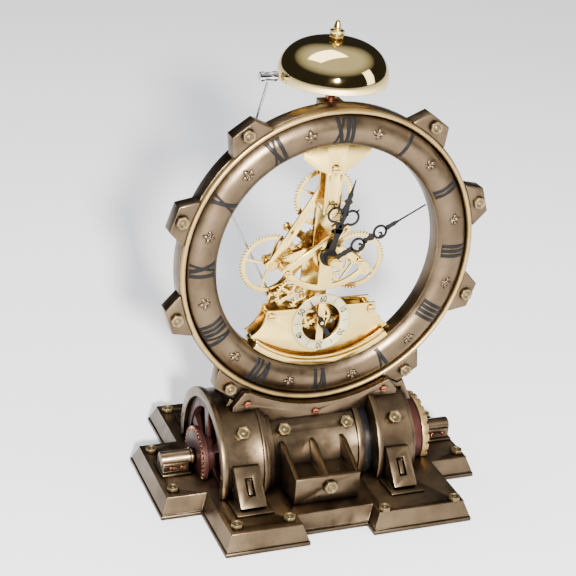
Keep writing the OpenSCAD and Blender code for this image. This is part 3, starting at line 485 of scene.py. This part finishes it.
def loop_path(centre, radius, start, end, steps=28, squeeze=1.0):
    """An arc whose width is squeezed about its centre."""
    return [(centre[0] + (x - centre[0]) * squeeze, y)
            for x, y in arc(centre, radius, start, end, steps)]


def sweep(path, radius, sides=16):
    """A round rod along 3-D points."""
    rows = []
    last = len(path) - 1
    path = [Vector(p) for p in path]
    across = None
    for k, p in enumerate(path):
        along = (path[min(k + 1, last)] - path[max(k - 1, 0)]).normalized()
        if across is None:
            across = along.orthogonal().normalized()
        across = (across - along * across.dot(along)).normalized()
        other = along.cross(across)
        rows.append([p + radius * (math.cos(t) * across + math.sin(t) * other)
                     for t in (2 * math.pi * j / sides for j in range(sides))])
    return skin(rows)


def rounded_corner(a, b, c, reach, steps=8):
    """Points that round the corner at b of the path a, b, c."""
    a, b, c = Vector(a), Vector(b), Vector(c)
    first, last = b + (a - b).normalized() * reach, b + (c - b).normalized() * reach
    ts = [k / steps for k in range(steps + 1)]
    return [first * (1 - t) ** 2 + b * (2 * t * (1 - t)) + last * t * t for t in ts]


# ---------- the dial ring ----------
CROWN_MID, CROWN_R = 91.0, 14.0
CROWN_F = CREST / MM - CROWN_R
NUMERAL_LOW, NUMERAL_HIGH = 82.6, 99.6


def crown_height(x, y):
    """Height of the ring's crown over the point (x, y) of the dial, in millimetres."""
    away = math.hypot(x, y) - CROWN_MID
    return CROWN_F + math.sqrt(max(CROWN_R ** 2 - away ** 2, 0))


def make_ring_tube():
    """Rounded crown of the dial ring, down to the case's front."""
    foot = CASE_FRONT / MM
    reach = math.degrees(math.acos((foot - CROWN_F) / CROWN_R))
    outline = arc((CROWN_MID, CROWN_F), CROWN_R, 90 + reach, 90 - reach, 28)
    mesh = lathe("ring_crown", outline, DIAL_MM, 256, closed=True)
    add_piece("ring_crown", mesh, "ring_tube")


def make_bead():
    """Gold bead around the crown: a half-round on a low step."""
    low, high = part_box("gold_bead")
    outer = (high.x - low.x) / 2 / MM
    foot = CASE_FRONT / MM
    outline = [(outer - 3.3, foot), (outer - 3.3, foot + 0.6)]
    outline += arc((outer - 1.7, foot + 1.7), 1.7, 180, 0, 14)
    outline += [(outer, foot + 0.5), (outer, foot)]
    add_piece("gold_bead_ring", lathe("gold_bead_ring", outline, DIAL_MM, 256, closed=True),
              "gold_bead")


# Width of each letter, and its bars: x at the foot, x at the head, and the bar's own width
GLYPHS = {
    "I": (3.5, [(0, 0, 2.5)]),
    "V": (7.4, [(0.2, -2.5, 2.7), (0.2, 2.6, 1.6)]),
    "X": (7.4, [(2.4, -2.4, 2.7), (-2.4, 2.4, 1.6)]),
}
HOURS = ["XII", "I", "II", "III", "IIII", "V", "VI", "VII", "VIII", "IX", "X", "XI"]


def numeral_bar(low_x, high_x, width, offset):
    """One stroke of a numeral, lying on the crown, with a bevelled top and a serif at each end."""
    rows = []
    steps = 14
    for k in range(steps + 1):
        t = k / steps
        y = NUMERAL_LOW + (NUMERAL_HIGH - NUMERAL_LOW) * t
        x = offset + low_x + (high_x - low_x) * t
        serif = max(0.0, 1 - min(t, 1 - t) / 0.07)
        half = width / 2 + 0.45 * serif
        top = 0.55
        rows.append([(x + w, y, crown_height(x + w, y) + h) for w, h in (
            (-half, -0.3), (half, -0.3), (half, top * 0.35), (half * 0.62, top),
            (-half * 0.62, top), (-half, top * 0.35))])
    return skin(rows)


def make_numerals():
    """The twelve Roman numerals, read from the centre outwards."""
    parts = []
    for hour, word in enumerate(HOURS):
        total = sum(GLYPHS[g][0] for g in word)
        offset = -total / 2
        for g in word:
            span, bars = GLYPHS[g]
            for low_x, high_x, width in bars:
                parts.append((*numeral_bar(low_x, high_x, width, offset + span / 2),
                              turned(30 * hour)))
            offset += span
    add_piece("numeral_reliefs", join_parts("numeral_reliefs", parts, 25), "numerals")


def petal(foot, length, width, heading, curl, height):
    """A small domed leaf on the crown, from foot along heading, bending by curl degrees."""
    rows = []
    steps, across = 8, 6
    x, y = foot
    turn = math.radians(heading)
    for k in range(steps + 1):
        t = k / steps
        half = width / 2 * math.sin(math.pi * min(0.08 + 0.92 * t, 0.985)) ** 0.7
        side = Vector((-math.sin(turn), math.cos(turn)))
        row = []
        for j in range(across + 1):
            v = 2 * j / across - 1
            px, py = x + side.x * half * v, y + side.y * half * v
            rise = height * math.sqrt(max(1 - v * v, 0)) * (0.35 + 0.65 * math.sin(math.pi * t))
            row.append((px, py, crown_height(px, py) + rise))
        row += [(p[0], p[1], crown_height(p[0], p[1]) - 0.3) for p in (row[-1], row[0])]
        rows.append(row)
        x += math.cos(turn) * length / steps
        y += math.sin(turn) * length / steps
        turn += math.radians(curl) / steps
    return skin(rows)


def make_ornaments():
    """A small spray of leaves at every half hour."""
    leaves = [((0, 91.2), 5.0, 3.4, 90, 0, 1.1), ((0.7, 91.0), 4.2, 3.0, 12, 35, 0.95),
              ((-0.7, 91.0), 4.2, 3.0, 168, -35, 0.95), ((0, 90.6), 3.6, 2.0, -90, 0, 0.9),
              ((0.5, 89.8), 3.2, 1.7, -42, 60, 0.75), ((-0.5, 89.8), 3.2, 1.7, -138, -60, 0.75),
              ((-1.3, 90.6), 2.6, 2.6, 0, 0, 1.3)]
    parts = []
    for hour in range(12):
        for foot, length, width, heading, curl, height in leaves:
            parts.append((*petal(foot, length, width, heading, curl, height),
                          turned(30 * hour + 15)))
    add_piece("half_hour_reliefs", join_parts("half_hour_reliefs", parts, 50), "ornaments",
              slot="bronze")


# ---------- hands ----------
HAND_BOLD = 1.3


def hand_turn(node):
    """Angle of a hand clockwise from twelve, from the middle of its box and its far corner."""
    low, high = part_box(node)
    x = high.x if abs(high.x) > abs(low.x) else low.x
    z = high.z - RING_Z if abs(high.z - RING_Z) > abs(low.z - RING_Z) else low.z - RING_Z
    return math.degrees(math.atan2(x, z))


def mirrored(path):
    """The path on the hand's other side."""
    return [(-x, y) for x, y in path]


def hand_line(path, widths, low, high):
    """A stroke of a hand, drawn bolder than its centre widths."""
    if isinstance(widths, list):
        return stroke(path, [HAND_BOLD * w for w in widths], low, high)
    return stroke(path, HAND_BOLD * widths, low, high)


def hour_hand_parts(low, high):
    side = [(0.6, 18), (1.6, 21), (2.6, 23.5), (4.4, 25.4)] + loop_path((6.2, 30.4), 5.0, -105, 150)
    side += [(2.6, 31.2)]
    thick = [2.4, 2.0, 1.5, 1.3] + [1.25] * 29 + [1.7]
    horn = [(8.4, 34.2), (8.9, 35.8), (9.9, 37.2)]
    parts = [hand_line([(0, 4), (0, 8), (0, 13), (0, 17), (0, 21)], [4.4, 3.8, 3.0, 3.6, 5.4],
                       low, high)]
    for flip in (False, True):
        for path, widths in ((side, thick), (horn, [1.5, 1.1, 0.4])):
            parts.append(hand_line(mirrored(path) if flip else path, widths, low, high))
    spine = [20, 26, 30, 34, 36.5, 39, 41, 43, 46, 48, 50, 56.7]
    parts.append(hand_line([(0, y) for y in spine],
                           [2.6, 1.0, 1.2, 3.2, 3.6, 2.6, 5.2, 2.4, 2.8, 1.5, 1.1, 0.45],
                           low, high))
    for s in (-1, 1):
        parts.append(hand_line([(s * 1.5, 33.6), (s * 1.9, 30.5), (s * 1.1, 26), (s * 0.4, 22)],
                            [1.0, 0.8, 0.9, 1.6], low, high))
    return parts


def minute_hand_parts(low, high):
    parts = [hand_line([(0, 3), (0, 8), (0, 10), (0, 12), (0, 14), (0, 16)],
                    [3.4, 2.4, 3.2, 2.5, 3.2, 2.6], low, high)]
    parts.append(hand_line(loop_path((0, 20.4), 4.7, -90, 270, 36, 0.98), 1.35, low, high))
    parts.append(hand_line(loop_path((1.6, 21.4), 1.5, -60, 200, 12), 1.3, low, high))
    parts.append(hand_line([(0, 24.5), (0, 26.4), (0, 28), (0, 30), (0, 31.6), (0, 33.4)],
                        [2.0, 3.6, 2.0, 3.4, 4.2, 2.0], low, high))
    parts.append(hand_line(loop_path((0, 38), 4.5, -90, 270, 36, 0.98), 1.3, low, high))
    parts.append(hand_line(loop_path((1.7, 37.4), 1.2, -60, 200, 12), 1.1, low, high))
    parts.append(hand_line([(0, 42.2), (0, 44), (0, 46.5), (0, 49), (0, 51), (0, 53), (0, 74.5)],
                        [1.8, 3.0, 2.2, 2.6, 1.7, 0.9, 0.7], low, high))
    return parts


def make_hands():
    """Pierced blade and turned collar of each hand, at the hand's own angle."""
    for node, make, collar_r, bore in (("hour_hand", hour_hand_parts, 6.0, 2.2),
                                       ("minute_hand", minute_hand_parts, 4.2, 1.2)):
        low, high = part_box(node)
        front, back = -low.y / MM, -high.y / MM
        where = turned(hand_turn(node))
        top = front - 0.2 if node == "hour_hand" else front - 0.1
        blade = (top - 0.8, top)
        parts = [(*p, where) for p in make(*blade)]
        mesh = join_parts(node + "_blade", parts, 40)
        add_piece(node + "_blade", mesh, node)
        collar = [(bore, back), (collar_r, back), (collar_r, front - 0.5), (collar_r - 0.5, front),
                  (collar_r - 1.4, front), (collar_r - 1.8, front - 0.5), (bore, front - 0.5)]
        mesh = lathe(node + "_collar", collar, where, 96, closed=True)
        add_piece(node + "_collar", mesh, node, hide=False)


# ---------- bell and hammer ----------


def make_bell():
    """Thin domed shell with a rolled lip."""
    radius = (bell_high.x - bell_low.x) / 2 / MM
    height = (bell_high.z - bell_low.z) / MM
    skin_t = 1.4
    bore = 2.05

    def dome(r, h, steps):
        """A quarter of the bell's section, from the lip up; a little squarer than an ellipse."""
        out = []
        for k in range(steps + 1):
            a = math.radians(90 * k / steps)
            out.append((max(r * math.cos(a) ** 0.75, bore), h * math.sin(a) ** 0.85))
        return out

    outer = dome(radius, height, 72)
    inner = dome(radius - skin_t, height - skin_t, 72)[::-1]
    outline = [p for p in outer if p[0] > bore] + [(bore, height), (bore, height - skin_t)]
    outline += [p for p in inner if p[0] > bore]
    outline[-1:] = [(radius - skin_t, 0.25), (radius - skin_t + 0.35, 0), (radius - 0.35, 0)]
    outline[0] = (radius, 0.3)
    mesh = lathe("bell_shell", outline, BELL_MM, 192, closed=True)
    add_piece("bell_shell", mesh, "bell", look="bell_brass")


def make_hammer():
    """Bent wire with its hub and armature, and the turned head; places are on the dial, in mm."""
    head = middle("hammer_head")
    plane = -head.y / MM + 1.0
    pivot, bend, tail = (-32, -34), (-66, 31), (-20, -35.5)
    wire_r = 0.8
    foot = (head.x / MM - 0.6, (head.z - RING_Z) / MM - 3.75)
    pivot_at, bend_at, foot_at, tail_at = ((*p, plane) for p in (pivot, bend, foot, tail))
    long_run = [Vector(pivot_at), *rounded_corner(pivot_at, bend_at, foot_at, 7), Vector(foot_at)]
    parts = [(*sweep(run, wire_r, 20), DIAL_MM) for run in (long_run, [pivot_at, tail_at])]
    add_piece("hammer_wire", join_parts("hammer_wire", parts, 60), "hammer_arm")
    hub = [(0, -2.1), (2.7, -2.1), (3.0, -1.8), (3.0, 1.8), (2.7, 2.1), (1.6, 2.1), (1.2, 1.8),
           (1.2, 7.3), (0, 7.3)]
    at_pivot = DIAL_MM @ Matrix.Translation((*pivot, plane))
    add_piece("hammer_hub", lathe("hammer_hub", hub, at_pivot, 64), "hammer_arm", hide=False)
    iron = [(0, -2.3), (2.2, -2.3), (2.4, -2.1), (2.4, 2.1), (2.2, 2.3), (0, 2.3)]
    at_tail = DIAL_MM @ Matrix.Translation((*tail, plane))
    add_piece("hammer_armature", lathe("hammer_armature", iron, at_tail, 48), "hammer_arm",
              hide=False)
    low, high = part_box("hammer_head")
    half, radius = (high.x - low.x) / 2 / MM, (high.z - low.z) / 2 / MM
    flat_end = [(0, -half), (radius - 0.6, -half), (radius, -half + 0.6), (radius, -half + 3.2),
                (radius - 0.35, -half + 3.5), (radius - 0.5, -half + 3.9)]
    cupped_end = [(radius - 0.5, half - 3.9), (radius - 0.35, half - 3.5), (radius, half - 3.2),
                  (radius, half - 0.6), (radius - 0.6, half), (radius * 0.45, half),
                  (radius * 0.35, half - 0.5), (0, half - 0.5)]
    sideways = Matrix.Rotation(math.radians(90), 4, "Y")
    lying = Matrix.Translation(head) @ sideways @ Matrix.Scale(MM, 4)
    mesh = lathe("hammer_barrel", flat_end + cupped_end, lying, 96)
    add_piece("hammer_barrel", mesh, "hammer_head")


# ---------- the small seconds dial ----------


def make_seconds_dial():
    """Brass ring with its digits, and a stroke halfway between each two."""
    low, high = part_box("seconds_dial")
    centre = (low + high) / 2
    face = -low.y / MM - 0.2
    radius = (high.x - low.x) / 2 / MM
    bore = 14.3
    where = DIAL_MM @ Matrix.Translation((centre.x / MM, (centre.z - RING_Z) / MM, 0))
    profile = [(bore, face - 0.5), (bore, face - 0.1), (bore + 0.15, face), (radius - 1.1, face),
               (radius - 0.9, face + 0.18), (radius - 0.3, face + 0.18), (radius, face - 0.1),
               (radius, face - 0.5)]
    mesh = lathe("seconds_ring", profile, where, 160, closed=True)
    add_piece("seconds_ring", mesh, "seconds_dial", slot="dial_brass")
    parts = []
    for k in range(6):
        text = bpy.data.curves.new("digits", "FONT")
        text.body = str(k * 10 or 60)
        text.size = 6.4
        text.offset = 0.11
        text.align_x = "CENTER"
        text.align_y = "CENTER"
        text.extrude = 0.05
        holder = bpy.data.objects.new("digits", text)
        bpy.context.scene.collection.objects.link(holder)
        bpy.context.view_layer.update()
        shape = holder.to_mesh()
        turn = Matrix.Rotation(-math.radians(60 * k), 4, "Z")
        spot = where @ turn @ Matrix.Translation((0, (bore + radius) / 2 - 0.3, face + 0.04))
        spot = spot @ Matrix.Scale(0.78, 4, (1, 0, 0))
        parts.append(([v.co.copy() for v in shape.vertices],
                      [tuple(p.vertices) for p in shape.polygons], spot))
        holder.to_mesh_clear()
        bpy.data.objects.remove(holder)
        half_turn = Matrix.Rotation(-math.radians(60 * k + 30), 4, "Z")
        parts.append((*stroke([(0, bore + 1.2), (0, radius - 1.6)], 0.42, face, face + 0.1, 0.03),
                      where @ half_turn))
    add_piece("seconds_digits", join_parts("seconds_digits", parts), "seconds_dial",
              slot="black_paint", hide=False)


# ---------- the open end's rotor and the hand cap ----------


def trimmed(mesh, height):
    """The mesh without what lies below the height, closed again at the cut."""
    bm = bmesh.new()
    bm.from_mesh(mesh)
    bmesh.ops.bisect_plane(bm, geom=[*bm.verts, *bm.edges, *bm.faces], dist=1e-7,
                           plane_co=(0, 0, height), plane_no=(0, 0, -1), clear_outer=True)
    bmesh.ops.holes_fill(bm, edges=[e for e in bm.edges if len(e.link_faces) == 1], sides=0)
    bm.to_mesh(mesh)
    bm.free()
    smooth(mesh, 30)
    return mesh


def ribs_around(count, radii, foot, crest, foot_half, crest_half):
    """Parts for a ring of radial ribs, from x = foot to x = crest of the dynamo."""
    parts = []
    for k in range(count):
        turn = Matrix.Rotation(2 * math.pi * k / count, 4, "Z")
        rows = [[(r, w, x) for w, x in ((-foot_half, foot), (foot_half, foot),
                                        (crest_half, crest), (-crest_half, crest))]
                for r in radii]
        parts.append((*skin(rows), DYNAMO_MM @ turn))
    return parts


def make_rotor():
    """Spoked wheel with ribs across its rim, and the end disc on the shaft.

    The dynamo is sunk in the plinth, so every piece ends at the plinth's top.
    """
    plinth_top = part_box("left_rotor")[0].z
    rim_in, rim_out = 34, 40.6
    rim_front, rim_back = -76, -70
    spoke_front, spoke_back = -75, -71
    parts = []
    for k in range(6):
        turn = Matrix.Rotation(math.radians(20 + 60 * k), 4, "Z")
        rows = [[(r, -half, spoke_front), (r, half, spoke_front), (r, half, spoke_back),
                 (r, -half, spoke_back)]
                for r, half in ((12, 2.6), (22, 3.0), (34.5, 3.9))]
        parts.append((*skin(rows), DYNAMO_MM @ turn))
    mesh = trimmed(join_parts("rotor_spokes", parts, 30), plinth_top)
    add_piece("rotor_spokes", mesh, "left_rotor")
    rim = [(rim_in, rim_front), (rim_out, rim_front), (rim_out, rim_back), (rim_in, rim_back)]
    core = [(0, -84.5), (18, -84.5), (18.4, -84.1), (18.4, -83.6), (20.4, -83.6), (21, -83),
            (21, -80.5), (20.5, -80), (14, -80), (14, -70), (22, -70), (22, -50), (0, -50)]
    for name, outline, closed in (("rotor_rim", rim, True), ("rotor_core", core, False)):
        mesh = trimmed(lathe(name, outline, DYNAMO_MM, 192, closed), plinth_top)
        add_piece(name, mesh, "left_rotor", hide=False)
    ribs = ribs_around(54, (rim_in + 0.1, rim_out - 0.1), spoke_front, rim_front, 0.62, 0.42)
    ribs += ribs_around(36, (18.5, 20.6), -83.5, -84.3, 0.7, 0.5)
    mesh = trimmed(join_parts("rotor_ribs", ribs, 30), plinth_top)
    add_piece("rotor_ribs", mesh, "left_rotor", hide=False, look="rotor_ribs")


def make_cap():
    """Knurled nut on the hands' arbor."""
    low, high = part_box("hand_cap")
    back, front = -high.y / MM, -low.y / MM
    knurl_r, ridge_h, steps = 3.3, 0.3, 96
    rows = []
    for height, radius in ((back, 3.05), (back + 0.2, knurl_r), (front - 0.9, knurl_r),
                           (front - 0.55, 3.0), (front - 0.5, 2.4), (front, 2.1)):
        ridged = radius >= 3.0
        row = []
        for k in range(steps):
            turn = 2 * math.pi * k / steps
            r = radius + (ridge_h if ridged and k % 4 < 2 else 0)
            row.append((r * math.cos(turn), r * math.sin(turn), height))
        rows.append(row)
    add_piece("knurled_cap", join_parts("knurled_cap", [(*skin(rows), DIAL_MM)], 30), "hand_cap")


# ---------- pieces ----------
add_camera()
add_stage()

# Width of the rounded edges, in millimetres
BEVELLED = {
    "plinth": 0.55, "left_drum": 0.6, "right_drum": 0.6, "centre_barrel": 0.6, "saddle": 0.5,
    "drum_legs": 0.5, "terminal_box": 0.6, "pedestals": 0.4, "ring_case": 0.6, "case_bolts": 0.3,
    "lug_bolts": 0.3, "notched_ring": 0.3, "red_disc": 0.6, "stub_shafts": 0.5,
    "small_screws": 0.2, "inner_ledge": 0.4, "lower_plate": 0.2, "top_bridge": 0.2,
    "middle_plate": 0.2, "quadrant_bridge": 0.25, "rear_bridge": 0.2, "plate_screws": 0.15,
    "finial_nut": 0.3, "bell_bracket": 0.6, "motor": 0.5, "base_cover": 0.2,
    "battery_door": 0.2, "rotor_band": 0.2,
}
for node_name, width_mm in BEVELLED.items():
    soften(node_name, width_mm * MM)

for node_name, obj in frame["nodes"].items():
    if node_name not in BEVELLED:
        obj.data.materials.clear()
        obj.data.materials.append(LOOKS[SLOT_OF[node_name]])

make_ring_tube()
make_bead()
make_numerals()
make_ornaments()
make_hands()
make_bell()
make_hammer()
make_seconds_dial()
make_rotor()
make_cap()
